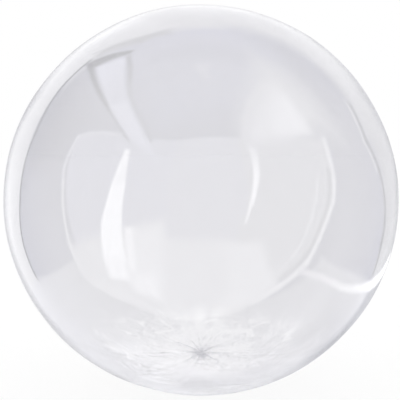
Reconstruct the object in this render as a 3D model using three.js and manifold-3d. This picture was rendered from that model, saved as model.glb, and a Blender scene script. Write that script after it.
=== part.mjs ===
// A clear bubble balloon: a round envelope of stretched plastic film, filled with air, gathered at its
// neck and closed by an overhand knot tied in the neck itself. It lies on a small flat with the neck low
// down behind it, and the neck's flat tail runs out on the floor behind the knot.
//
// Millimetres, +Z up. The origin is the middle of the flat that the balloon rests on. The neck leaves
// towards +Y and down, so the side that faces -Y is bare film. The envelope, the knot and the tail are one
// moulded piece of film. It is sealed with air inside, so it is one solid here.
import * as THREE from "three";
import { mergeVertices } from "three/addons/utils/BufferGeometryUtils.js";
import Module from "manifold-3d";

const wasm = await Module();
wasm.setup();

const BUBBLE_WIDTH = 450; // across the equator
const HEIGHT_SHARE = 0.99; // the film sags a little under its own weight
const REST_SPOT_RADIUS = 26; // the flat that the film presses against the floor
const NECK_ANGLE = THREE.MathUtils.degToRad(63); // how far below level the neck leaves the bubble

const GATHER_ANGLE = THREE.MathUtils.degToRad(15); // from the neck's axis to where the film leaves the ball
const SHOULDER_PULL = 0.62; // how far the film keeps the ball's direction, as a share of its distance in
const THROAT_REACH = 11; // how far the gathered throat stands out of the ball
const THROAT_STRAIGHT = 10; // the last of the throat, where the film runs nearly along the neck's axis
const THROAT_OVERLAP = 5; // the bunched strand starts this far inside the throat
const STRAND_RADIUS = 2.6; // the neck's film bunched tight in the knot
const PLEATS = 11;
const PLEAT_DEPTH = 2.4;
const PLEAT_PEAK = 20; // distance from the neck's axis at which the pleats are deepest
const PLEAT_REACH = 84; // distance at which they have died out, give or take PLEAT_REACH_SPREAD
const PLEAT_REACH_SPREAD = 22;
const PLEAT_SHARPNESS = 1.5; // 1 is a plain wave, and more makes narrow ridges between wide troughs

const KNOT_RING = 5.5; // mean radius of the knot's loop
const KNOT_SWING = 2.7; // how far the strand swings in, out and across as it goes round
const KNOT_OPENING = 0.25; // how far the strand's two ends run past each other, in radians of its turn
const KNOT_BEHIND = 17; // from the throat's end back to the middle of the knot
const KNOT_HEIGHT = 9.5; // the middle of the knot above the floor
const KNOT_DIP = THREE.MathUtils.degToRad(12); // how far below level the knot points
const KNOT_OFFSET = 3.5; // the loop bulges to one side of the neck by this much
const TAIL_HALF_WIDTH = 12.5;
const TAIL_HALF_THICKNESS = 1.3;
const TAIL_LENGTH = 64; // from the knot to the cut end
const TAIL_FLAT_SHARE = 0.38; // this share of the tail, from its cut end, has its full width
const TAIL_DRIFT = 3; // how far the tail curves aside
const TAIL_LIFT = 0.3; // the tail's underside clears the floor by this

const AROUND = 80; // facets round the bubble
const BALL_RINGS = 33;
const GATHER_RINGS = 12;
const STRAND_SIDES = 12;
const STRAND_STEPS = 72;
const STRAND_PIECES = 12; // the strand is joined from this many short lengths, because its turns touch

const halfWidth = BUBBLE_WIDTH / 2;
const halfHeight = halfWidth * HEIGHT_SHARE;
const centre = new THREE.Vector3(0, 0, halfHeight * Math.sqrt(1 - (REST_SPOT_RADIUS / halfWidth) ** 2));
const throatEnd = halfWidth + THROAT_REACH;
const sag = new THREE.Vector3(1, 1, HEIGHT_SHARE);

const filmMaterial = new THREE.MeshPhysicalMaterial({
  name: "film",
  color: new THREE.Color(0.86, 0.86, 0.89),
  roughness: 0.04,
  metalness: 0,
  transmission: 0.9,
  transparent: true,
  opacity: 0.35,
});

// A closed geometry as a manifold-3d solid.
function solidOf(geometry) {
  const bare = new THREE.BufferGeometry()
    .setAttribute("position", geometry.getAttribute("position"))
    .setIndex(geometry.index);
  const merged = mergeVertices(bare, 1e-3);
  return new wasm.Manifold(
    new wasm.Mesh({
      numProp: 3,
      vertProperties: merged.attributes.position.array,
      triVerts: new Uint32Array(merged.index.array),
    }),
  );
}

// A manifold-3d solid as a three.js geometry.
function geometryOf(solid) {
  const mesh = solid.getMesh();
  const geometry = new THREE.BufferGeometry()
    .setAttribute("position", new THREE.BufferAttribute(mesh.vertProperties, 3))
    .setIndex(new THREE.BufferAttribute(mesh.triVerts, 1));
  geometry.computeVertexNormals();
  return geometry;
}

// How high the pleats stand at a distance from the neck's axis and an angle round it. They rise from the
// throat to PLEAT_PEAK, and each dies out at its own distance.
function pleatHeight(distance, angle) {
  const reach = PLEAT_REACH + PLEAT_REACH_SPREAD * Math.sin(3 * angle + 1);
  const dying = 1 - THREE.MathUtils.smoothstep(distance, PLEAT_PEAK, reach);
  const uneven = angle + 0.1 * Math.sin(2 * angle + 0.5) + 0.05 * Math.sin(5 * angle);
  const ridge = (0.5 + 0.5 * Math.cos(PLEATS * uneven)) ** PLEAT_SHARPNESS;
  return PLEAT_DEPTH * Math.min(1, distance / PLEAT_PEAK) * dying * ridge;
}

// The envelope's half section, from the pole opposite the neck round the ball, then in along a curve to
// the throat.
function bubbleProfile() {
  const points = [];
  for (let i = 0; i < BALL_RINGS; i += 1) {
    const angle = Math.PI + (GATHER_ANGLE - Math.PI) * (i / BALL_RINGS);
    points.push(new THREE.Vector2(i ? halfWidth * Math.sin(angle) : 0, halfWidth * Math.cos(angle)));
  }
  const start = new THREE.Vector2(halfWidth * Math.sin(GATHER_ANGLE), halfWidth * Math.cos(GATHER_ANGLE));
  const tangent = new THREE.Vector2(-Math.cos(GATHER_ANGLE), Math.sin(GATHER_ANGLE));
  const gather = new THREE.CubicBezierCurve(
    start,
    start.clone().addScaledVector(tangent, SHOULDER_PULL * start.x),
    new THREE.Vector2(STRAND_RADIUS, throatEnd - THROAT_STRAIGHT),
    new THREE.Vector2(STRAND_RADIUS, throatEnd),
  );
  points.push(...gather.getPoints(GATHER_RINGS), new THREE.Vector2(0, throatEnd));
  return points;
}

// The ball and its gathered throat, turned about the neck's axis, with the pleats raised along its normals.
function envelope() {
  const geometry = new THREE.LatheGeometry(bubbleProfile(), AROUND);
  const { position, normal } = geometry.attributes;
  for (let i = 0; i < position.count; i += 1) {
    const point = new THREE.Vector3().fromBufferAttribute(position, i);
    const distance = Math.hypot(point.x, point.z);
    if (point.y < 0 || distance < STRAND_RADIUS / 2) continue;
    const outward = new THREE.Vector3().fromBufferAttribute(normal, i);
    point.addScaledVector(outward, pleatHeight(distance, Math.atan2(point.x, point.z)));
    position.setXYZ(i, point.x, point.y, point.z);
  }
  geometry.rotateX(-NECK_ANGLE).scale(sag.x, sag.y, sag.z).translate(centre.x, centre.y, centre.z);
  return geometry;
}

// The direction that leaves towards +Y and dips below level by an angle.
function backward(dip) {
  return new THREE.Vector3(0, Math.cos(dip), -Math.sin(dip));
}

// A point on the neck's axis, at a distance from the bubble's centre.
function onNeckAxis(distance) {
  return backward(NECK_ANGLE).multiplyScalar(distance).multiply(sag).add(centre);
}

// The neck's centreline: out of the throat, bent level behind it, once through an overhand knot, and then
// down to the floor and along it to the cut end. The knot is a trefoil cut open at the side, with its two
// ends a strand apart.
function neckLine() {
  const points = [onNeckAxis(throatEnd - THROAT_OVERLAP), onNeckAxis(throatEnd)];
  const knotAxis = backward(KNOT_DIP);
  const sideways = new THREE.Vector3(1, 0, 0);
  const knotNormal = new THREE.Vector3().crossVectors(sideways, knotAxis);
  const middle = new THREE.Vector3(0, points[1].y + KNOT_BEHIND, KNOT_HEIGHT);
  const knotPoints = 40;
  for (let i = 0; i <= knotPoints; i += 1) {
    const turn = THREE.MathUtils.lerp(-KNOT_OPENING, 2 * Math.PI + KNOT_OPENING, i / knotPoints);
    const radius = KNOT_RING + KNOT_SWING * Math.cos(3 * turn);
    const apart = STRAND_RADIUS * (turn / Math.PI - 1);
    points.push(
      middle
        .clone()
        .addScaledVector(knotAxis, radius * Math.sin(2 * turn))
        .addScaledVector(sideways, radius * Math.cos(2 * turn) - KNOT_OFFSET)
        .addScaledVector(knotNormal, KNOT_SWING * Math.sin(3 * turn) + apart),
    );
  }
  const exit = points[points.length - 1];
  const lying = TAIL_HALF_THICKNESS + TAIL_LIFT;
  const tailPoints = 10;
  for (let i = 1; i <= tailPoints; i += 1) {
    const share = i / tailPoints;
    const fall = (1 - share) ** 3;
    points.push(
      new THREE.Vector3(
        exit.x * fall + TAIL_DRIFT * Math.sin(2.4 * share),
        exit.y + TAIL_LENGTH * share * (0.9 + 0.1 * share),
        lying + (exit.z - lying) * fall,
      ),
    );
  }
  return new THREE.CatmullRomCurve3(points).getSpacedPoints(STRAND_STEPS);
}

// Frames along the line, carried back from the cut end, where the section's width lies level.
function carriedFrames(points) {
  const last = points.length - 1;
  const tangents = points.map((point, i) =>
    new THREE.Vector3().subVectors(points[Math.min(i + 1, last)], points[Math.max(i - 1, 0)]).normalize(),
  );
  const frames = [];
  let side = new THREE.Vector3().crossVectors(tangents[last], new THREE.Vector3(0, 0, 1));
  for (let i = last; i >= 0; i -= 1) {
    side = side.clone().addScaledVector(tangents[i], -side.dot(tangents[i])).normalize();
    frames[i] = { side, up: new THREE.Vector3().crossVectors(side, tangents[i]) };
  }
  return frames;
}

// Half the width and half the thickness of the neck at a distance back from the cut end: flat in the tail,
// and bunched round where it enters the knot.
function neckSection(fromCutEnd) {
  const bunched = THREE.MathUtils.smoothstep(fromCutEnd, TAIL_FLAT_SHARE * TAIL_LENGTH, TAIL_LENGTH);
  return {
    halfWidth: THREE.MathUtils.lerp(TAIL_HALF_WIDTH, STRAND_RADIUS, bunched),
    halfThickness: THREE.MathUtils.lerp(TAIL_HALF_THICKNESS, STRAND_RADIUS, bunched),
  };
}

// One closed length of the neck: a unit cylinder whose height runs along the line between two of its points.
function neckLength(points, frames, first, last) {
  const geometry = new THREE.CylinderGeometry(1, 1, 1, STRAND_SIDES, last - first);
  const { position } = geometry.attributes;
  const step = points[0].distanceTo(points[1]);
  for (let i = 0; i < position.count; i += 1) {
    const index = first + Math.round((0.5 + position.getY(i)) * (last - first));
    const section = neckSection(step * (points.length - 1 - index));
    const { side, up } = frames[index];
    const placed = points[index]
      .clone()
      .addScaledVector(side, section.halfWidth * position.getX(i))
      .addScaledVector(up, section.halfThickness * position.getZ(i));
    position.setXYZ(i, placed.x, placed.y, placed.z);
  }
  return solidOf(geometry);
}

function neck() {
  const points = neckLine();
  const frames = carriedFrames(points);
  const last = points.length - 1;
  let strand = null;
  for (let k = 0; k < STRAND_PIECES; k += 1) {
    const from = Math.max(0, Math.round((last * k) / STRAND_PIECES) - 1);
    const to = Math.round((last * (k + 1)) / STRAND_PIECES);
    const length = neckLength(points, frames, from, to);
    strand = strand ? strand.add(length) : length;
  }
  return strand;
}

// Everything below the floor, which the envelope is pressed flat against.
function floorBlock() {
  const depth = 50;
  return solidOf(new THREE.BoxGeometry(BUBBLE_WIDTH, BUBBLE_WIDTH, depth).translate(0, 0, -depth / 2));
}

const balloon = new THREE.Mesh(
  geometryOf(solidOf(envelope()).subtract(floorBlock()).add(neck())),
  filmMaterial,
);
balloon.name = "balloon";

const part = new THREE.Group();
part.add(balloon);

export default part;
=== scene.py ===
import bpy
import numpy as np
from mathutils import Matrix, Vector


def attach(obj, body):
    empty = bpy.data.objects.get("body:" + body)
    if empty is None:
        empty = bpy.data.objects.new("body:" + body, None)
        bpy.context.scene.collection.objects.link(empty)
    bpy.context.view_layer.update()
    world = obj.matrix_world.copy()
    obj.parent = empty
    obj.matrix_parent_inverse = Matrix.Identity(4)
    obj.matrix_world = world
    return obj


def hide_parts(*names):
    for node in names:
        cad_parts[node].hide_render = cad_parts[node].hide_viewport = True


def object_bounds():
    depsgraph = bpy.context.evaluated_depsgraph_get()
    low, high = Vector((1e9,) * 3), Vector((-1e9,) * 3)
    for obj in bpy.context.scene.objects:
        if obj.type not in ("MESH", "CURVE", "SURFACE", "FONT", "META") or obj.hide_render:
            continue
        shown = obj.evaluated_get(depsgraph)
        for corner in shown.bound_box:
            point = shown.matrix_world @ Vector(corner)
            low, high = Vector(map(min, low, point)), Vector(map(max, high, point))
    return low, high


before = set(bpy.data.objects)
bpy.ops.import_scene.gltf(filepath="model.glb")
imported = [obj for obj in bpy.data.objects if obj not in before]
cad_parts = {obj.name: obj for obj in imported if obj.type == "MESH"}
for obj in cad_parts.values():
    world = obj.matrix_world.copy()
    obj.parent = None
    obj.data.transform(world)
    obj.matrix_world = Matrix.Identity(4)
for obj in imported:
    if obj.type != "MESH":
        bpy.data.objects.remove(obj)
cad_low, cad_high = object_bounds()


# ---- The bubble --------------------------------------------------------------------------------------
# One moulded piece of clear stretched film: the round envelope, the neck gathered in pleats and tied in
# an overhand knot, and the flat tail, open at its cut lip. It is a single closed skin: the outside of
# the film runs from the pole opposite the neck to the lip, and turns in there to run back as the inside.
FILM = 0.00016  # thickness of the stretched film
HEIGHT_SHARE = 0.99  # height of the ball over its width
REST_SPOT_RADIUS = 0.026
NECK_ANGLE = np.radians(63)  # how far below level the neck leaves the ball

GATHER_ANGLE = np.radians(15)  # from the neck's axis to where the film leaves the ball
SHOULDER_PULL = 0.62
THROAT_REACH = 0.011
THROAT_STRAIGHT = 0.010
STRAND_RADIUS = 0.0024  # of the bunched film between the ball and the tail
BOX_MARGIN = 0.0004  # room that the waves in the film need inside the solid's box

PLEATS = 11
PLEAT_DEPTH = 0.0014
PLEAT_PEAK = 0.020  # distance from the neck's axis at which a pleat is highest
PLEAT_REACH = 0.066
PLEAT_REACH_SPREAD = 0.020
PLEAT_SHARPNESS = 1.5
# the count round the neck, bend, phase and depth of each wave of fine creases
CREASES = ((23, 30, 0.4, 0.00013), (31, -42, 2.1, 0.0001), (47, 25, 4.0, 0.00006))
CREASE_PEAK = 0.05
CREASE_SPREAD = 0.034

WAVES = 12
WAVE_LENGTHS = (0.045, 0.12)
WAVE_HEIGHT = 0.00007
WAVE_SEED = 5

KNOT_RING = 0.0055
KNOT_SWING = 0.0027
KNOT_OPENING = 0.25
KNOT_BEHIND = 0.017
KNOT_HEIGHT = 0.0095
KNOT_DIP = np.radians(12)
KNOT_OFFSET = 0.0035
KNOT_PLY = 0.0026  # how far each end of the knot is shifted along its axis
THROAT_LEAD = 0.005
TAIL_HALF_WIDTH = 0.0125
TAIL_HALF_THICKNESS = 0.0011
TAIL_LENGTH = 0.064
TAIL_DRIFT = 0.003
TAIL_REST = 0.0016  # height of its middle over the floor, at the lip
TAIL_FLAT_SHARE = 0.38
LIP_OPENING = 0.0009
LIP_RIPPLE = 0.0004
FURROWS = 7
FURROW_DEPTH = 0.09  # half of it, as a share of the strand's radius
FAN_FOLDS = 9
FAN_DEPTH = 0.00022

GATHERED_TO = np.radians(58)  # how far the gathers reach from the neck, seen from the centre

AROUND = 192
BALL_RINGS = 64
SHOULDER_RINGS = 28
GATHER_RINGS = 50
NECK_RINGS = 104

half_width = (cad_high.x - cad_low.x) / 2 - BOX_MARGIN
half_height = half_width * HEIGHT_SHARE
centre = np.array([0, 0, half_height * np.sqrt(1 - (REST_SPOT_RADIUS / half_width) ** 2)])
throat_end = half_width + THROAT_REACH
sag = np.array([1, 1, HEIGHT_SHARE])
sideways = np.array([1.0, 0, 0])
level = np.array([0, 0, 1.0])


def backward(dip):
    """The direction that leaves towards +Y and dips below level by an angle."""
    return np.array([0, np.cos(dip), -np.sin(dip)])


def smooth(low, high, value):
    """Rises from 0 at low to 1 at high with no corner: three times the square less twice the cube."""
    share = np.clip((value - low) / (high - low), 0, 1)
    return share * share * (3 - 2 * share)


def bezier(a, b, c, d, count):
    """A cubic from a to d that leaves towards b and arrives from c, at evenly spaced shares."""
    t = np.linspace(0, 1, count)[:, None]
    return (1 - t) ** 3 * a + 3 * (1 - t) ** 2 * t * b + 3 * (1 - t) * t * t * c + t**3 * d


def evenly(points, count):
    """The polyline through the points, cut again into steps of one length."""
    steps = np.linalg.norm(np.diff(points, axis=0), axis=1)
    run = np.concatenate([[0], np.cumsum(steps)])
    wanted = np.linspace(0, run[-1], count)
    return np.stack([np.interp(wanted, run, points[:, k]) for k in range(points.shape[1])], 1)


def unit(vectors):
    """Each vector over its own length."""
    return vectors / np.linalg.norm(vectors, axis=-1, keepdims=True)


def half_section():
    """Distance from the neck's axis and height along it: a circle from the far pole to the shoulder, in
    finer steps near the neck, and then a cubic that leaves along the circle and ends along the axis."""
    far = np.linspace(np.pi, 2 * GATHER_ANGLE, BALL_RINGS, endpoint=False)
    near = np.linspace(2 * GATHER_ANGLE, GATHER_ANGLE, SHOULDER_RINGS, endpoint=False)
    angle = np.concatenate([far, near])
    ball = half_width * np.stack([np.sin(angle), np.cos(angle)], 1)
    start = half_width * np.array([np.sin(GATHER_ANGLE), np.cos(GATHER_ANGLE)])
    shoulder = start + SHOULDER_PULL * start[0] * np.array([-np.cos(GATHER_ANGLE), np.sin(GATHER_ANGLE)])
    throat = np.array([STRAND_RADIUS, throat_end])
    dense = bezier(start, shoulder, throat - [0, THROAT_STRAIGHT], throat, 400)
    return np.concatenate([ball, evenly(dense, GATHER_RINGS)])


def pleats(distance, angle):
    """Height of the gathers: a cosine round the neck, narrowed to ridges, that rises from the throat and
    dies out further off, at its own distance for each side; finer creases ride on it."""
    reach = PLEAT_REACH + PLEAT_REACH_SPREAD * np.sin(3 * angle + 1)
    dying = 1 - smooth(PLEAT_PEAK, reach, distance)
    uneven = angle + 0.1 * np.sin(2 * angle + 0.5) + 0.05 * np.sin(5 * angle)
    ridge = (0.5 + 0.5 * np.cos(PLEATS * uneven)) ** PLEAT_SHARPNESS
    return PLEAT_DEPTH * np.minimum(1, distance / PLEAT_PEAK) * dying * ridge


def creases(distance, angle):
    """Fine radial creases between the pleats: three sharp-topped waves round the neck, each bending as it
    runs out, under a bell curve of the distance from the neck's axis."""
    strength = np.exp(-(((distance - CREASE_PEAK) / CREASE_SPREAD) ** 2))
    height = np.zeros_like(distance)
    for count, bend, phase, depth in CREASES:
        height += depth * (1 - np.abs(np.sin(count / 2 * angle + bend * distance + phase)) * 1.6)
    return strength * height


def undulation(points):
    """Soft unevenness of the blown film: a sum of plane waves of seeded directions, lengths and phases."""
    rng = np.random.default_rng(WAVE_SEED)
    directions = unit(rng.normal(size=(WAVES, 3)))
    length = rng.uniform(*WAVE_LENGTHS, WAVES)
    phase = rng.uniform(0, 2 * np.pi, WAVES)
    waves = np.sin(points @ (directions * 2 * np.pi / length[:, None]).T + phase)
    return WAVE_HEIGHT * waves.sum(-1)


def envelope_rings(angle):
    """The ball and its gathered throat: the half section turned about the neck's axis, with pleats,
    creases and undulation raised square to it."""
    profile = half_section()
    slope = unit(np.gradient(profile, axis=0))
    outward = np.stack([slope[:, 1], -slope[:, 0]], 1)
    distance = np.broadcast_to(profile[:, :1], (len(profile), AROUND))
    turn = np.broadcast_to(angle, distance.shape)
    on_neck_side = (profile[:, 1] > 0)[:, None]
    raised = np.where(on_neck_side, pleats(distance, turn) + creases(distance, turn), 0)
    axis = backward(NECK_ANGLE)
    across = np.cross(sideways, axis)
    spoke = np.sin(angle)[:, None] * sideways + np.cos(angle)[:, None] * across
    flat = profile[:, None, :1] * spoke + profile[:, None, 1:] * axis
    raised = raised + undulation(flat) * smooth(0.004, 0.05, distance)
    square_to_it = outward[:, None, :1] * spoke + outward[:, None, 1:] * axis
    return centre + sag * (flat + raised[..., None] * square_to_it)


def curve_through(points, per_step):
    """A smooth line through the points: between each two a cubic whose end slopes weigh the neighbouring
    steps by the square roots of their lengths (a centripetal Catmull-Rom spline)."""
    ends = np.concatenate([[2 * points[0] - points[1]], points, [2 * points[-1] - points[-2]]])
    pace = np.sqrt(np.linalg.norm(np.diff(ends, axis=0), axis=1))[:, None]
    rate = np.diff(ends, axis=0) / pace
    joined = (ends[2:] - ends[:-2]) / (pace[1:] + pace[:-1])
    slope = rate[:-1] - joined + rate[1:]
    t = np.linspace(0, 1, per_step, endpoint=False)[None, :, None]
    start, end = points[:-1, None], points[1:, None]
    leaving, arriving = (slope[:-1] * pace[1:-1])[:, None], (slope[1:] * pace[1:-1])[:, None]
    line = (
        (2 * t**3 - 3 * t**2 + 1) * start
        + (t**3 - 2 * t**2 + t) * leaving
        + (3 * t**2 - 2 * t**3) * end
        + (t**3 - t**2) * arriving
    )
    return np.concatenate([line.reshape(-1, 3), points[-1:]])


def on_neck_axis(distance):
    """A point on the neck's axis, at a distance from the ball's centre."""
    return centre + sag * distance * backward(NECK_ANGLE)


def neck_line():
    """The neck's centreline: from the throat into the knot, a trefoil cut open at the side with its ends
    pulled apart along its axis, and then down to the floor and along it to the lip."""
    throat = on_neck_axis(throat_end)
    turn = np.linspace(-KNOT_OPENING, 2 * np.pi + KNOT_OPENING, 41)
    radius = KNOT_RING + KNOT_SWING * np.cos(3 * turn)
    forward = backward(KNOT_DIP)
    lifted = KNOT_SWING * np.sin(3 * turn) + KNOT_PLY * (turn / np.pi - 1)
    knot = (
        np.array([0, throat[1] + KNOT_BEHIND, KNOT_HEIGHT])
        + (radius * np.sin(2 * turn))[:, None] * forward
        + (radius * np.cos(2 * turn) - KNOT_OFFSET)[:, None] * sideways
        + lifted[:, None] * np.cross(sideways, forward)
    )
    share = np.linspace(0.1, 1, 10)
    fall = (1 - share) ** 3
    tail = np.stack([
        knot[-1, 0] * fall + TAIL_DRIFT * np.sin(2.4 * share),
        knot[-1, 1] + TAIL_LENGTH * share * (0.9 + 0.1 * share),
        TAIL_REST + (knot[-1, 2] - TAIL_REST) * fall,
    ], 1)
    path = np.concatenate([[on_neck_axis(throat_end - THROAT_LEAD), throat], knot, tail])
    per_step = 16
    past_throat = curve_through(path, per_step)[per_step:]
    return evenly(past_throat, NECK_RINGS)


def neck_rings(angle):
    """The bunched neck and the tail: an oval carried along the centreline, its width kept level. It is
    round in the knot, with furrows that twist along it, and flat in the tail, with shallow folds that fan
    out and a fine ripple. At the lip it opens a little."""
    line = neck_line()
    tangent = unit(np.gradient(line, axis=0))
    side = unit(np.cross(tangent, level))
    up = np.cross(side, tangent)
    step = np.linalg.norm(line[1] - line[0])
    to_lip = (step * np.arange(len(line))[::-1])[:, None]
    bunched = smooth(TAIL_FLAT_SHARE * TAIL_LENGTH, TAIL_LENGTH, to_lip)
    wide = TAIL_HALF_WIDTH + (STRAND_RADIUS - TAIL_HALF_WIDTH) * bunched
    lip_opening = LIP_OPENING * (1 - smooth(0, 0.02, to_lip))
    flat_thick = TAIL_HALF_THICKNESS + lip_opening
    thick = flat_thick + (STRAND_RADIUS - flat_thick) * bunched
    from_throat = smooth(0, 0.012, step * np.arange(len(line)))[:, None]
    twist = 3 * np.sin(60 * to_lip)
    furrow = 1 - FURROW_DEPTH * from_throat * bunched * (1 + np.cos(FURROWS * angle + twist))
    fan = FAN_DEPTH * (1 - bunched) * smooth(0, 0.03, to_lip) * np.cos(FAN_FOLDS * angle + 1)
    width = wide * furrow * np.sin(angle)
    height = (thick * furrow + fan) * np.cos(angle)
    ripple = LIP_RIPPLE * (1 - bunched) * np.sin(700 * width * (1 - bunched) + 1.3)
    height = height + lip_opening + ripple
    return line[:, None] + width[..., None] * side[:, None] + height[..., None] * up[:, None]


def film_grid():
    """The middle of the film as rings of points: the envelope, then the neck. Where it would pass the
    floor it turns level, with a soft corner: a smooth maximum of its height and the floor's."""
    angle = np.linspace(0, 2 * np.pi, AROUND, endpoint=False)
    rings = np.concatenate([envelope_rings(angle), neck_rings(angle)[1:]])
    floor = 0.6 * FILM
    corner = 0.00015
    rings[..., 2] = floor + corner * np.logaddexp(0, (rings[..., 2] - floor) / corner)
    rings[0] = rings[0].mean(0)
    return rings


def fold_share():
    """How sharply the film is folded at each point of the rings: the root of the pleats' height over the
    greatest, all of it in the throat, and less and less along the neck."""
    angle = np.linspace(0, 2 * np.pi, AROUND, endpoint=False)
    profile = half_section()
    distance, turn = np.broadcast_arrays(profile[:, :1], angle)
    folded = np.sqrt(pleats(distance, turn) / PLEAT_DEPTH)
    folded = np.maximum(folded, 1 - smooth(0.008, 0.024, distance)) * (profile[:, 1:] > 0)
    neck = 1 - smooth(0, NECK_RINGS - 2, np.arange(NECK_RINGS - 1))
    return np.concatenate([folded, np.repeat(neck[:, None], AROUND, 1)])


def film_normals(rings):
    """Square to the film at each point, outwards: across the slope along the rings and round them."""
    along = np.gradient(rings, axis=0)
    around = np.roll(rings, -1, 1) - np.roll(rings, 1, 1)
    around[0] = around[1]
    along[0] = rings[1] - rings[0]
    return unit(np.cross(around, along))


def film_mesh(name):
    """Both skins as one closed mesh: rings of quads from the pole to the lip on the outside, over the lip,
    and back on the inside, with a fan of triangles at each pole. The lip's two edges are sharp. Each point
    keeps how near the neck it is (gathered) and how sharply the film is folded there (folded), and the map
    is the skin unrolled: round the neck's axis one way, and from the pole to the lip the other."""
    rings = film_grid()
    offset = FILM / 2 * film_normals(rings)
    offset[0] = offset[0].mean(0)
    outer, inner = rings + offset, (rings - offset)[::-1]
    body = np.concatenate([outer[1:], inner[:-1]])
    points = np.concatenate([outer[0, :1], body.reshape(-1, 3), inner[-1, :1]])
    count = len(body)
    ring = np.arange(count - 1)[:, None] * AROUND + 1
    here = np.arange(AROUND)[None]
    after = (here + 1) % AROUND
    quads = np.stack([ring + here, ring + after, ring + AROUND + after, ring + AROUND + here], -1)
    last = len(points) - 1
    base = 1 + (count - 1) * AROUND
    poles = np.concatenate([
        np.stack([np.zeros(AROUND, int), 1 + after[0], 1 + here[0]], 1),
        np.stack([np.full(AROUND, last), base + here[0], base + after[0]], 1),
    ])
    mesh = bpy.data.meshes.new(name)
    mesh.from_pydata(points.tolist(), [], quads.reshape(-1, 4).tolist() + poles.tolist())
    mesh.shade_smooth()
    ends = np.empty(2 * len(mesh.edges), int)
    mesh.edges.foreach_get("vertices", ends)
    lip = (len(rings) - 2) * AROUND + 1
    ring_of = np.where((ends >= lip) & (ends < lip + 2 * AROUND), (ends - lip) // AROUND, -1).reshape(-1, 2)
    sharp = mesh.attributes.new("sharp_edge", "BOOLEAN", "EDGE")
    sharp.data.foreach_set("value", (ring_of[:, 0] == ring_of[:, 1]) & (ring_of[:, 0] >= 0))
    toward_neck = unit(points - centre) @ backward(NECK_ANGLE)
    gathered = mesh.attributes.new("gathered", "FLOAT", "POINT")
    gathered.data.foreach_set("value", smooth(np.cos(GATHERED_TO), 1, toward_neck))
    # the fold share also drives the painted highlight that lifts the film's cast towards white in the folds
    share = fold_share()
    share = np.concatenate([share[0, :1], share[1:].ravel(), share[:0:-1].ravel(), share[0, :1]])
    mesh.attributes.new("folded", "FLOAT", "POINT").data.foreach_set("value", share)
    row = np.concatenate([np.arange(1, len(rings)), np.arange(len(rings) - 1, 0, -1)]) / len(rings)
    column = np.abs(np.arange(AROUND) * 2 / AROUND - 1)
    unrolled = np.stack(np.broadcast_arrays(column, row[:, None]), -1).reshape(-1, 2)
    unrolled = np.concatenate([[[0, 0]], unrolled, [[0, 0]]])
    corners = np.empty(len(mesh.loops), int)
    mesh.loops.foreach_get("vertex_index", corners)
    mesh.uv_layers.new(name="unrolled").data.foreach_set("uv", unrolled[corners].ravel())
    return mesh


bubble = bpy.data.objects.new("bubble", film_mesh("bubble"))
bpy.context.scene.collection.objects.link(bubble)


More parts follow.
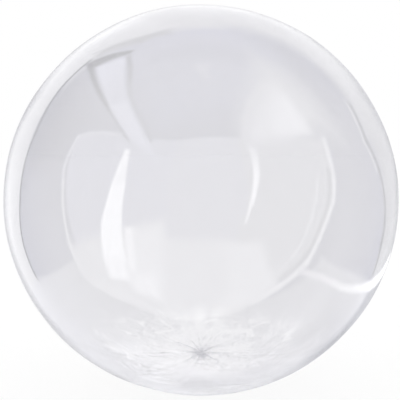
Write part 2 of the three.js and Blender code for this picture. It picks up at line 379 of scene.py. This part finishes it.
def film_marks():
    """A node group for what shows in the film. Gathered says how close a place is to the neck, and Folded
    how sharply it is folded. Height has soft waves everywhere; crumples, the ridges of a noise, and flecks
    where the film is slack, near the neck and low down; and creases that run out from the neck. The second
    output is painted highlight: it lifts the film's cast towards white where folds, crumples and flecks
    would glint, standing in for the glints of crinkled and folded film."""
    group = bpy.data.node_groups.new("film_marks", "ShaderNodeTree")
    sockets = (("Place", "Vector"), ("Unrolled", "Vector"), ("Gathered", "Float"), ("Folded", "Float"))
    for name, kind in sockets:
        group.interface.new_socket(name, in_out="INPUT", socket_type="NodeSocket" + kind)
    for name in ("Height", "Painted_Highlight", "Haze"):
        group.interface.new_socket(name, in_out="OUTPUT", socket_type="NodeSocketFloat")
    nodes, links = group.nodes, group.links
    given, result = nodes.new("NodeGroupInput"), nodes.new("NodeGroupOutput")

    def noise(vector, scale, detail, distortion):
        texture = nodes.new("ShaderNodeTexNoise")
        texture.inputs["Scale"].default_value = scale
        texture.inputs["Detail"].default_value = detail
        texture.inputs["Distortion"].default_value = distortion
        links.new(vector, texture.inputs["Vector"])
        return texture.outputs["Fac"]

    def math(operation, *values):
        node = nodes.new("ShaderNodeMath")
        node.operation = operation
        for k, value in enumerate(values):
            if isinstance(value, (int, float)):
                node.inputs[k].default_value = value
            else:
                links.new(value, node.inputs[k])
        return node.outputs[0]

    def fade(value, low, high):
        node = nodes.new("ShaderNodeMapRange")
        node.interpolation_type = "SMOOTHSTEP"
        node.inputs["From Min"].default_value = low
        node.inputs["From Max"].default_value = high
        links.new(value, node.inputs["Value"])
        return node.outputs["Result"]

    def stretched(vector, factors):
        node = nodes.new("ShaderNodeVectorMath")
        node.operation = "MULTIPLY"
        node.inputs[1].default_value = factors
        links.new(vector, node.inputs[0])
        return node.outputs[0]

    place, gathered = given.outputs["Place"], given.outputs["Gathered"]
    waves = noise(place, 7, 2, 0.4)
    crumple = noise(place, 34, 4, 1.8)
    ridge = math("SUBTRACT", 1, math("MULTIPLY", math("ABSOLUTE", math("SUBTRACT", crumple, 0.5)), 6))
    ridge = math("MAXIMUM", ridge, 0)
    streak = noise(stretched(given.outputs["Unrolled"], (34, 5, 1)), 1, 3, 0.9)
    parts = nodes.new("ShaderNodeSeparateXYZ")
    links.new(place, parts.inputs[0])
    low_down = fade(parts.outputs["Z"], 0.072, 0.036)
    where = math("MULTIPLY", fade(noise(place, 11, 1, 0), 0.38, 0.56), low_down)
    underneath = fade(parts.outputs["Z"], 0.06, 0.015)
    slack = math("MAXIMUM", gathered, math("MULTIPLY", underneath, 0.6))
    crumpled = math("MULTIPLY", math("MULTIPLY", ridge, slack), where)
    fleck = fade(noise(stretched(place, (0.5, 1, 1.3)), 62, 5, 1.2), 0.53, 0.6)
    flecks = math("MULTIPLY", math("MULTIPLY", fleck, where), fade(slack, 0.1, 0.5))
    creased = math("MULTIPLY", math("SUBTRACT", streak, 0.5), gathered)
    height = math("ADD", math("MULTIPLY", waves, 0.35), math("MULTIPLY", crumpled, 0.45))
    height = math("ADD", height, math("MULTIPLY", flecks, 0.12))
    height = math("ADD", height, math("MULTIPLY", creased, 0.35))
    links.new(height, result.inputs["Height"])
    # painted highlight: crumples, flecks and folds lift the film's cast towards white, standing in for
    # their glints
    painted_highlight = math("ADD", math("MULTIPLY", crumpled, 0.7), given.outputs["Folded"])
    painted_highlight = math("ADD", painted_highlight, flecks)
    links.new(math("MINIMUM", painted_highlight, 1), result.inputs["Painted_Highlight"])
    links.new(noise(place, 9, 4, 0), result.inputs["Haze"])
    return group


def clear_film():
    """Clear plastic film: glass with a faint lavender grey cast that is lifted towards white as a painted
    highlight in the folds, crumples and flecks, a little haze in soft patches, and low relief. Shadow and
    diffuse rays pass straight through, as through a pale sheet."""
    material = bpy.data.materials.new("clear_film")
    material.use_nodes = True
    nodes, links = material.node_tree.nodes, material.node_tree.links
    shader = nodes["Principled BSDF"]
    shader.inputs["Transmission Weight"].default_value = 1
    shader.inputs["IOR"].default_value = 1.5
    shader.inputs["Metallic"].default_value = 0
    place = nodes.new("ShaderNodeTexCoord")
    gathered = nodes.new("ShaderNodeAttribute")
    gathered.attribute_name = "gathered"
    folded = nodes.new("ShaderNodeAttribute")
    folded.attribute_name = "folded"
    marks = nodes.new("ShaderNodeGroup")
    marks.node_tree = film_marks()
    links.new(place.outputs["Object"], marks.inputs["Place"])
    links.new(place.outputs["UV"], marks.inputs["Unrolled"])
    links.new(gathered.outputs["Fac"], marks.inputs["Gathered"])
    links.new(folded.outputs["Fac"], marks.inputs["Folded"])
    # the film's own lavender grey cast, lifted towards white by the painted highlight of folds, crumples
    # and flecks
    cast_and_highlight = nodes.new("ShaderNodeMix")
    cast_and_highlight.data_type = "RGBA"
    cast_and_highlight.inputs["A"].default_value = (0.862, 0.859, 0.872, 1)
    cast_and_highlight.inputs["B"].default_value = (0.985, 0.983, 0.985, 1)
    links.new(marks.outputs["Painted_Highlight"], cast_and_highlight.inputs["Factor"])
    links.new(cast_and_highlight.outputs["Result"], shader.inputs["Base Color"])
    smudge = nodes.new("ShaderNodeMapRange")
    smudge.inputs["From Min"].default_value = 0.45
    smudge.inputs["From Max"].default_value = 0.75
    smudge.inputs["To Min"].default_value = 0.02
    smudge.inputs["To Max"].default_value = 0.06
    links.new(marks.outputs["Haze"], smudge.inputs["Value"])
    links.new(smudge.outputs["Result"], shader.inputs["Roughness"])
    relief = nodes.new("ShaderNodeBump")
    relief.inputs["Strength"].default_value = 1
    relief.inputs["Distance"].default_value = 0.0008
    links.new(marks.outputs["Height"], relief.inputs["Height"])
    links.new(relief.outputs["Normal"], shader.inputs["Normal"])
    path = nodes.new("ShaderNodeLightPath")
    lighting = nodes.new("ShaderNodeMath")
    lighting.operation = "MAXIMUM"
    links.new(path.outputs["Is Shadow Ray"], lighting.inputs[0])
    links.new(path.outputs["Is Diffuse Ray"], lighting.inputs[1])
    pale = nodes.new("ShaderNodeBsdfTransparent")
    pale.inputs["Color"].default_value = (0.985, 0.985, 0.985, 1)
    choose = nodes.new("ShaderNodeMixShader")
    links.new(lighting.outputs[0], choose.inputs["Fac"])
    links.new(shader.outputs["BSDF"], choose.inputs[1])
    links.new(pale.outputs["BSDF"], choose.inputs[2])
    links.new(choose.outputs["Shader"], nodes["Material Output"].inputs["Surface"])
    return material


bubble.data.materials.append(clear_film())
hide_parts("balloon")
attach(bubble, "root")


# ---- The floor ---------------------------------------------------------------------------------------
# A plain white disc, wide enough to run out of every view. It doesn't show in mirrored rays, where the
# light tent of the studio stands in for it.
FLOOR_RADIUS = 12
FLOOR_SIDES = 96


def floor_disc(radius, sides):
    """A flat fan of triangles round the origin."""
    angle = np.linspace(0, 2 * np.pi, sides, endpoint=False)
    rim = radius * np.stack([np.cos(angle), np.sin(angle), 0 * angle], 1)
    mesh = bpy.data.meshes.new("floor")
    mesh.from_pydata(rim.tolist(), [], [list(range(sides))])
    material = bpy.data.materials.new("floor_white")
    material.use_nodes = True
    shader = material.node_tree.nodes["Principled BSDF"]
    shader.inputs["Base Color"].default_value = (0.96, 0.96, 0.96, 1)
    shader.inputs["Roughness"].default_value = 1
    shader.inputs["Specular IOR Level"].default_value = 0
    nodes, links = material.node_tree.nodes, material.node_tree.links
    path = nodes.new("ShaderNodeLightPath")
    clear = nodes.new("ShaderNodeBsdfTransparent")
    choose = nodes.new("ShaderNodeMixShader")
    links.new(path.outputs["Glossy Depth"], choose.inputs["Fac"])
    links.new(shader.outputs["BSDF"], choose.inputs[1])
    links.new(clear.outputs["BSDF"], choose.inputs[2])
    links.new(choose.outputs["Shader"], nodes["Material Output"].inputs["Surface"])
    mesh.materials.append(material)
    return bpy.data.objects.new("floor", mesh)


floor = floor_disc(FLOOR_RADIUS, FLOOR_SIDES)
floor.visible_glossy = False
bpy.context.scene.collection.objects.link(floor)


# ---- The studio --------------------------------------------------------------------------------------
# White all round for what is seen straight or through the film, and one soft lamp. What the film mirrors
# is a light tent with its lamps, open at the front: every surface in it is a patch of the sphere round the
# balloon, given by its corners as azimuth and elevation in degrees. Azimuth 0 is towards the camera, and
# +90 is the camera's right. Only mirrored rays see it.
def heading(corner):
    """The unit vector of a direction given as azimuth and elevation in degrees."""
    a, e = np.radians(corner)
    return np.array([np.sin(a) * np.cos(e), -np.cos(a) * np.cos(e), np.sin(e)])


def patch(paint, softness, *corners):
    """One four-sided patch: its colour, how soft its edges are in degrees, and its corners as vectors."""
    return [(paint, softness, [heading(corner) for corner in corners])]


def band(paint, softness, width, *path):
    """A narrow strip along a path: one patch for each step, widened to either side by half the width and
    lengthened a little to meet the next."""
    strip = []
    for start, end in zip(path[:-1], path[1:]):
        a, b = heading(start), heading(end)
        aside = np.tan(np.radians(width / 2)) * unit(np.cross(a, b))
        onward = np.tan(np.radians(width / 4)) * unit(b - a)
        corners = [a + aside - onward, b + aside + onward, b - aside + onward, a - aside - onward]
        strip.append((paint, softness, corners))
    return strip


def shade(brightness, blue=0.0):
    """A neutral paint of one brightness, leaning to blue or, below nothing, to pink."""
    red = 1 - 0.5 * max(blue, 0)
    green = 1 - 0.4 * abs(blue)
    return (brightness * red, brightness * green, brightness * (1 + max(blue, 0)), 1)


def patch_group():
    """A node group that paints one patch over a colour. Each side of the patch is a great circle; the mask
    is half more than the least of the direction's dot products with the sides' vectors, held between 0
    and 1 by the mix. The longer those vectors are, the crisper is the patch."""
    group = bpy.data.node_groups.new("room_patch", "ShaderNodeTree")
    sockets = (("Under", "Color"), ("Paint", "Color"), ("Direction", "Vector"))
    for name, kind in (*sockets, *((f"Side {k}", "Vector") for k in range(4))):
        group.interface.new_socket(name, in_out="INPUT", socket_type="NodeSocket" + kind)
    group.interface.new_socket("Color", in_out="OUTPUT", socket_type="NodeSocketColor")
    nodes, links = group.nodes, group.links
    given = nodes.new("NodeGroupInput")
    result = nodes.new("NodeGroupOutput")
    least = None
    for k in range(4):
        inside = nodes.new("ShaderNodeVectorMath")
        inside.operation = "DOT_PRODUCT"
        links.new(given.outputs["Direction"], inside.inputs[0])
        links.new(given.outputs[f"Side {k}"], inside.inputs[1])
        if least is None:
            least = inside.outputs["Value"]
            continue
        both = nodes.new("ShaderNodeMath")
        both.operation = "MINIMUM"
        links.new(least, both.inputs[0])
        links.new(inside.outputs["Value"], both.inputs[1])
        least = both.outputs[0]
    mask = nodes.new("ShaderNodeMath")
    mask.inputs[1].default_value = 0.5
    links.new(least, mask.inputs[0])
    mix = nodes.new("ShaderNodeMix")
    mix.data_type = "RGBA"
    links.new(mask.outputs[0], mix.inputs["Factor"])
    links.new(given.outputs["Under"], mix.inputs["A"])
    links.new(given.outputs["Paint"], mix.inputs["B"])
    links.new(mix.outputs["Result"], result.inputs["Color"])
    return group


def paint_room(tree, direction, group, under, patches):
    """Lays the patches over a colour one after another and gives the last one's output."""
    start = tree.nodes.new("ShaderNodeRGB")
    start.outputs[0].default_value = under
    colour = start.outputs[0]
    for paint, softness, corners in patches:
        middle = unit(np.sum(corners, 0))
        node = tree.nodes.new("ShaderNodeGroup")
        node.node_tree = group
        node.inputs["Paint"].default_value = paint
        crisp = 0.5 / np.sin(np.radians(softness))
        for k in range(4):
            side = crisp * unit(np.cross(corners[k], corners[(k + 1) % 4]))
            node.inputs[f"Side {k}"].default_value = side * np.sign(side @ middle)
        tree.links.new(direction, node.inputs["Direction"])
        tree.links.new(colour, node.inputs["Under"])
        colour = node.outputs["Color"]
    return colour


tent = [
    # the roof, and the dim left corner
    *patch(shade(1.15, 0.14), 9, (-120, 50), (-30, 44), (60, 44), (120, 60)),
    *patch(shade(1.1, 0.14), 9, (-175, 50), (-100, 60), (100, 60), (175, 50)),
    *band(shade(0.95, 0.16), 4, 9, (-110, 72), (-160, 84), (108, 70)),
    *patch(shade(0.56, 0.1), 10, (-126, -5), (-90, -5), (-84, 34), (-134, 40)),
    *patch(shade(0.88, 0.1), 6, (-118, -32), (-88, -30), (-88, 12), (-118, 8)),
    *patch(shade(1.0, 0.07), 8, (84, 32), (122, 30), (126, -22), (80, -26)),
    # the white back, brighter to the left, in its dark frame
    *patch(shade(1.5), 1.2, (-125, -27), (-123, 10), (-190, 10), (-190, -24)),
    *patch(shade(1.5), 1.2, (-123, 6), (-136, 42), (-190, 50), (-190, 6)),
    *patch(shade(1.5), 4, (-128, 34), (-145, 57), (-190, 60), (-190, 30)),
    *patch(shade(1.15), 3, (132, -19), (125, 1), (190, 10), (190, -24)),
    *patch(shade(1.15), 5, (125, -5), (121, 24), (190, 50), (190, -5)),
    *patch(shade(1.4), 6, (126, 18), (140, 44), (190, 60), (190, 18)),
    *band(shade(0.08, 0.1), 0.6, 1.8, (-126, -28), (-123, -2), (-124, 18), (-135, 41)),
    *band(shade(0.55), 1.2, 2.4, (124, 26), (119, 16), (122, 6), (126, -2), (130, -12), (135, -19)),
    *band(shade(1.5), 0.8, 1.6, (121, 28), (115, 17), (118, 7)),
    *band(shade(0.75), 2.5, 4, (-138, 44), (-145, 56), (-158, 60)),
    # the table it stands on: its near edge lies in front of the balloon
    *patch(shade(1.48, 0.02), 1.2, (-77, -24), (77, -24), (139, -21), (-147, -19)),
    *patch(shade(1.2, 0.02), 12, (-150, -70), (150, -70), (150, -22), (-150, -22)),
    *patch(shade(1.2, 0.02), 7, (104, -36), (150, -24), (165, -45), (118, -62)),
    *patch(shade(0.85, 0.02), 6, (-150, 14), (150, 14), (150, -26), (-150, -26)),
    *patch(shade(0.8, 0.04), 6, (148, -19), (172, -7), (182, -22), (150, -36)),
    # the open front, with a pale panel before it
    *patch(shade(1.6, 0.08), 1, (-84, 28), (-50, 33), (-50, -20), (-74, -21)),
    *patch(shade(1.7, 0.08), 1, (-54, 32), (-12, 36), (-12, -20), (-54, -20)),
    *patch(shade(1.75, 0.05), 1, (-16, 36), (28, 36), (28, -20), (-16, -20)),
    *patch(shade(1.75), 1, (24, 35), (80, 26), (75, -4), (24, -20)),
    *patch(shade(1.75), 1, (-75, -19), (-50, -15), (-50, -54), (-66, -37)),
    *patch(shade(1.75), 1, (20, -6), (75, -2), (52, -42), (20, -55)),
    *patch(shade(2.1), 3, (-80.5, -18), (-76, -37), (-50, -38), (-50, -18)),
    *patch(shade(2.3), 1.2, (-76.5, -34), (-63.5, -48), (-35, -45), (-50, -30)),
    *patch(shade(2.4), 1.2, (-67, -45), (-38, -60), (-15, -50), (-45, -36)),
    *patch(shade(2.4), 1.2, (-43, -58), (1, -65), (1, -50), (-30, -42)),
    *patch(shade(2.4), 1.2, (-3, -65), (38, -58), (28, -42), (-3, -48)),
    *patch(shade(2.3), 1.2, (33, -60), (58, -42.5), (45, -33), (20, -45)),
    # the bright floor in front
    *patch(shade(2.3), 4, (-68, -17), (-20, -8), (-22, -62), (-60, -42)),
    *patch(shade(2.35), 3, (-24, -16), (16, -17), (33, -59), (-26, -62)),
    *patch(shade(2.6), 2, (12, -18), (33, -18), (51, -41), (20, -62)),
    *patch(shade(2.8), 3, (-42, -13), (-21, -10), (-23, -46), (-47, -42)),
    *patch(shade(3.3), 2.5, (-46, -33), (-27, -36), (-29, -53), (-47, -45)),
    *band(shade(3.7), 1.5, 4, (-41, -13), (-43, -31)),
    # strip lights to the left and right of the camera
    *patch(shade(3.9), 0.8, (-47.2, 29), (-44.6, 29), (-44.2, 9), (-52.2, 9)),
    *patch(shade(4.2), 0.7, (-51.6, 11), (-44.2, 11), (-44.7, -9.5), (-55.8, -9.5)),
    *patch(shade(4.2), 0.8, (-55.5, -7.5), (-44.6, -7.5), (-45.8, -27), (-58.3, -27)),
    *patch(shade(3.8), 1.6, (-58, -24), (-45.6, -24), (-47.5, -38), (-59.5, -35)),
    *patch(shade(4.0), 0.7, (30.2, 32), (35, 31), (32.8, 15), (29.2, 15)),
    *patch(shade(4.0), 0.7, (29.2, 17), (33.2, 17), (27, -0.5), (24.4, -0.5)),
    *patch(shade(3.4), 0.7, (24.6, 2), (27.2, 2), (23.6, -9), (22.8, -9)),
    # the rim of the opening
    *band(shade(1.9, 0.05), 0.8, 1.8, (-82, 6), (-84, 14), (-83, 28), (-75, 31), (-52, 34)),
    *band(shade(2.2), 0.8, 1.6, (-82, 8), (-80.5, -14), (-78.5, -29), (-70, -42), (-53, -54.5), (-21, -63),
          (19, -63), (47, -51.5)),
    *band(shade(2.5), 1, 3.2, (82, 26), (79, 9), (77, 0), (71.5, -16), (66, -29), (56, -42.5),
          (44, -53.5)),
    *band(shade(1.1), 1.2, 2.4, (77, 14), (74, 0), (69.5, -12), (64, -25), (55.5, -37)),
    *band(shade(2.2), 0.8, 1.8, (68, 12), (65, 2), (62, -8), (58, -19), (49, -36)),
    # the long lamp overhead to the left, in its dark frame
    *patch(shade(0.02), 0.6, (-125, 43), (-133, 40), (-130.5, 59), (-125.5, 58)),
    *band(shade(0.02), 0.6, 2.0, (-126, 44), (-97, 47), (-69, 43.5)),
    *band(shade(0.2, 0.1), 0.6, 1.6, (-69, 43.5), (-46, 33)),
    *band(shade(0.35, 0.1), 0.8, 1.8, (-123, 58), (-104, 61), (-84, 60)),
    *band(shade(0.7, 0.1), 0.8, 1.8, (-84, 60), (-67, 56), (-33, 35)),
    *patch(shade(1.75, 0.1), 0.8, (-123, 47), (-122, 57), (-30, 28), (-46, 33)),
    *patch(shade(2.3, 0.08), 2, (-74, 46), (-64, 52), (-30, 28), (-45, 34)),
    # the big soft lamp to the right
    *patch(shade(1.9), 9, (105, 66), (30, 45), (30, 26), (92, 28)),
    *patch(shade(2.5), 4, (76, 57), (33, 40), (33, 33), (74, 32)),
    *patch(shade(2.9), 3, (76, 52), (52, 42), (52, 36), (73, 33)),
    *band(shade(2.0), 2, 4, (74, 60), (47, 54), (35, 46), (29, 35)),
    # a tube lamp along the table's edge
    *band(shade(2.3, -0.06), 1, 3, (66, -33.5), (82, -32.5), (98, -32)),
    *band(shade(2.4), 0.8, 2.4, (96, -32), (108, -31.5), (118, -29), (130, -25), (144, -19),
          (158, -11)),
]
# the tent again, dimmer and with only its large surfaces and a few lamps, for what the far film mirrors
deep_tent = [
    *patch(shade(0.45, 0.25), 20, (-90, -10), (-30, -85), (90, -10), (60, 5)),
    *patch(shade(0.8, 0.05), 12, (105, 10), (-105, 10), (-115, 60), (115, 60)),
    *patch(shade(1.7), 6, (150, 62), (-150, 62), (-30, 84), (30, 84)),
    *patch(shade(2.4), 4, (148, 36), (-172, 36), (-168, 54), (144, 54)),
    *patch(shade(2.6), 3, (163, 41), (167, 48), (175, 28), (173, 20)),
    *band(shade(3.0), 1.5, 3, (-158, 46), (-161, 22)),
    *band(shade(2.4), 1.5, 3, (-177, 30), (-168, 20)),
    *patch(shade(1.8), 2, (-124, 56), (-138, 52), (-138, 40), (-128, 42)),
    *patch(shade(1.8), 3, (90, 80), (60, 74), (130, 70), (170, 78)),
]

world = bpy.data.worlds.new("studio")
bpy.context.scene.world = world
world.use_nodes = True
world.cycles.sampling_method = "NONE"
sky = world.node_tree
around_us = sky.nodes.new("ShaderNodeTexCoord").outputs["Generated"]
path = sky.nodes.new("ShaderNodeLightPath")


def surround(colour):
    """A world shader of one colour, or of the colour that nodes work out."""
    node = sky.nodes.new("ShaderNodeBackground")
    if isinstance(colour, tuple):
        node.inputs["Color"].default_value = colour
    else:
        sky.links.new(colour, node.inputs["Color"])
    return node.outputs[0]


def crossed_more_than(count):
    """1 for a ray that has gone through more surfaces of film than that, and 0 for the others."""
    node = sky.nodes.new("ShaderNodeMath")
    node.operation = "GREATER_THAN"
    node.inputs[1].default_value = count
    sky.links.new(path.outputs["Transmission Depth"], node.inputs[0])
    return node.outputs[0]


def either(share, first, second):
    """The first shader where the share is 0, and the second where it is 1."""
    node = sky.nodes.new("ShaderNodeMixShader")
    for k, given in enumerate((share, first, second)):
        sky.links.new(given, node.inputs[k])
    return node.outputs[0]


FAR_FILM = 2.5  # surfaces crossed: fewer for what the near film mirrors, more for the far film
DEEP_FOLDS = 7.5  # and more than this only among the folds at the neck

white = sky.nodes["Background"]
white.inputs["Color"].default_value = (1, 1, 1, 1)
patch_nodes = patch_group()
near_room = surround(paint_room(sky, around_us, patch_nodes, shade(0.86, 0.1), tent))
far_room = surround(paint_room(sky, around_us, patch_nodes, shade(0.5, 0.1), deep_tent))
deeper = either(crossed_more_than(DEEP_FOLDS), far_room, surround(shade(1.3)))
mirrored = either(crossed_more_than(FAR_FILM), near_room, deeper)
seen = either(path.outputs["Glossy Depth"], white.outputs[0], mirrored)
sky.links.new(seen, sky.nodes["World Output"].inputs["Surface"])

lamp = bpy.data.objects.new("overhead_lamp", bpy.data.lights.new("overhead_lamp", "SUN"))
lamp.data.energy = 0.16
lamp.data.angle = np.radians(50)
lamp.visible_glossy = False
lamp.visible_transmission = False
bpy.context.scene.collection.objects.link(lamp)


# ---- The camera --------------------------------------------------------------------------------------
# In front and a little above, level with the middle of the ball.
RAISED = np.radians(4)
AWAY = 4.885 * half_width  # from the middle of the ball

eye = bpy.data.cameras.new("camera")
eye.lens = 85
eye.sensor_width = 36
eye.shift_x = -0.0025
camera = bpy.data.objects.new("camera", eye)
camera.location = centre + AWAY * np.array([0, -np.cos(RAISED), np.sin(RAISED)])
camera.rotation_euler = (np.pi / 2 - RAISED, 0, 0)
bpy.context.scene.collection.objects.link(camera)
bpy.context.scene.camera = camera

bpy.context.scene.view_settings.view_transform = "Standard"
# The folds at the neck are many films deep, and turn black with fewer bounces.
bounces = bpy.context.scene.cycles
bounces.max_bounces = 40
bounces.transmission_bounces = 40
bounces.glossy_bounces = 16
bounces.transparent_max_bounces = 32
